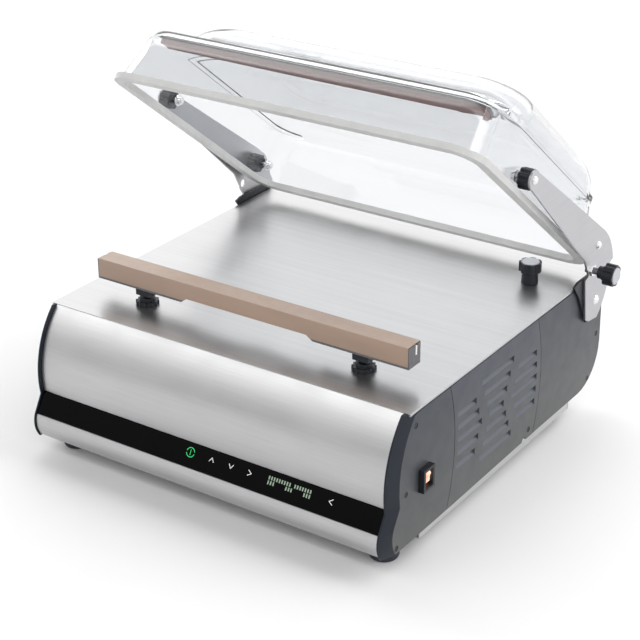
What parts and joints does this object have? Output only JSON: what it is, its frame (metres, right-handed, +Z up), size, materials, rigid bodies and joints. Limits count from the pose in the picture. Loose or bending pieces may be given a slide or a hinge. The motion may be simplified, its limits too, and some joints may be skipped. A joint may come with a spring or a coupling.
{
  "type": "vacuum chamber sealer",
  "caption": "Tabletop vacuum chamber sealer with a hinged clear dome lid, a lifting seal bar on a steel plate and a pump inside its body.",
  "frame": {"origin": "centre of the base tray's underside, midway between the four feet, which reach 12 mm lower", "axes": "+X to the operator's right along the lid's hinge, +Y to the back where the hinge is, +Z up"},
  "size_m": [0.5389, 0.5005, 0.4568],
  "materials": {
    "brushed_steel": "brushed stainless sheet",
    "bright_screw": "bright turned steel",
    "steel_shaft": "ground steel",
    "grey_cover": "fine-textured moulded plastic",
    "end_cap_plastic": "smooth dark blue-black moulded plastic",
    "black_glass": "glossy black glass",
    "black_plastic": "black moulded plastic",
    "black_screw": "blackened steel",
    "foot_rubber": "black rubber",
    "cap_grey": "light grey plastic",
    "clear_acrylic": "clear formed acrylic",
    "silicone": "whitish silicone",
    "counter_rubber": "reddish brown silicone",
    "dark_channel": "dark anodised aluminium",
    "tan_tape": "tan glass-cloth tape",
    "bar_aluminium": "extruded aluminium",
    "heating_metal": "nickel chrome band",
    "rocker_lens": "translucent orange lens",
    "brass": "turned brass",
    "bearing_plastic": "plain bearing plastic",
    "spring_steel": "spring steel",
    "pump_casting": "die-cast aluminium",
    "motor_paint": "blue painted metal",
    "filter_can": "painted steel can",
    "hose_rubber": "reinforced vacuum hose",
    "laminated_core": "varnished laminations",
    "copper_coil": "taped copper winding",
    "circuit_board": "circuit board",
    "lcd": "dark display glass"
  },
  "bodies": {
    "body": {"base_tray": "brushed_steel", "rubber_feet": "foot_rubber", "foot_screws": "steel_shaft", "top_plate": "brushed_steel", "front_panel": "brushed_steel", "control_glass": "black_glass", "display_board": "circuit_board", "lcd_module": "lcd", "left_end_cap": "end_cap_plastic", "right_end_cap": "end_cap_plastic", "left_front_cover": "grey_cover", "right_front_cover": "grey_cover", "left_vent_panel": "grey_cover", "right_vent_panel": "grey_cover", "left_rear_cover": "grey_cover", "right_rear_cover": "grey_cover", "rear_panel": "brushed_steel", "cover_screws": "black_screw", "power_inlet": "black_plastic", "inlet_pins": "brass", "switch_frame": "black_plastic", "hinge_brackets": "brushed_steel", "hinge_ears": "black_plastic", "hinge_bushes": "bearing_plastic", "lid_springs": "spring_steel", "post_collars": "black_plastic", "lift_cylinders": "bar_aluminium", "valve_seat": "brass", "suction_port": "steel_shaft", "vacuum_pump": "pump_casting", "pump_motor": "motor_paint", "exhaust_filter": "filter_can", "pump_mounts": "foot_rubber", "vacuum_hose": "hose_rubber", "solenoid_valves": "black_plastic", "transformer_core": "laminated_core", "transformer_coil": "copper_coil", "power_board": "circuit_board", "lid_switch": "black_plastic"},
    "lid": {"left_arm": "brushed_steel", "right_arm": "brushed_steel", "arm_screws": "bright_screw", "arm_spacers": "black_plastic", "lid_nuts": "bright_screw", "lid_dome": "clear_acrylic", "lid_seal": "silicone", "counter_bar": "dark_channel", "counter_rubber": "counter_rubber", "lock_nut": "steel_shaft", "hinge_shaft": "steel_shaft"},
    "lock_screw": {"lock_screw": "steel_shaft"},
    "lock_knob": {"lock_knob": "black_plastic", "lock_knob_cap": "cap_grey"},
    "seal_bar": {"seal_bar": "bar_aluminium", "bar_tape": "tan_tape", "heating_band": "heating_metal", "bar_posts": "black_plastic"},
    "power_rocker": {"switch_rocker": "rocker_lens"},
    "valve_knob": {"valve_knob": "black_plastic", "valve_knob_cap": "cap_grey"}
  },
  "joints": [
    {"name": "lid_hinge", "type": "hinge", "parent": "body", "child": "lid", "pos_m": [0, 0.221, 0.134], "axis": [1, 0, 0], "range_deg": [0, 38.35]},
    {"name": "seal_bar_lift", "type": "slide", "parent": "body", "child": "seal_bar", "axis": [0, 0, 1], "range_m": [0, 0.008]},
    {"name": "power_rocker_tilt", "type": "hinge", "parent": "body", "child": "power_rocker", "pos_m": [0.237, -0.158, 0.077], "axis": [0, -1, 0], "range_deg": [0, 18]},
    {"name": "valve_knob_turn", "type": "hinge", "parent": "body", "child": "valve_knob", "pos_m": [0.188, 0.1645, 0.173], "axis": [0, 0, 1], "range_deg": [0, 270]},
    {"name": "lock_screw_travel", "type": "slide", "parent": "lid", "child": "lock_screw", "axis": [-1, 0, 0], "range_m": [0, 0.003]},
    {"name": "lock_knob_turn", "type": "hinge", "parent": "lock_screw", "child": "lock_knob", "pos_m": [0.263, 0.19387, 0.18352], "axis": [-1, 0, 0], "range_deg": [0, 864]}
  ],
  "couplings": [
    {"joint": "lock_knob_turn", "follows": "lock_screw_travel", "rad_per_m": 5026}
  ]
}
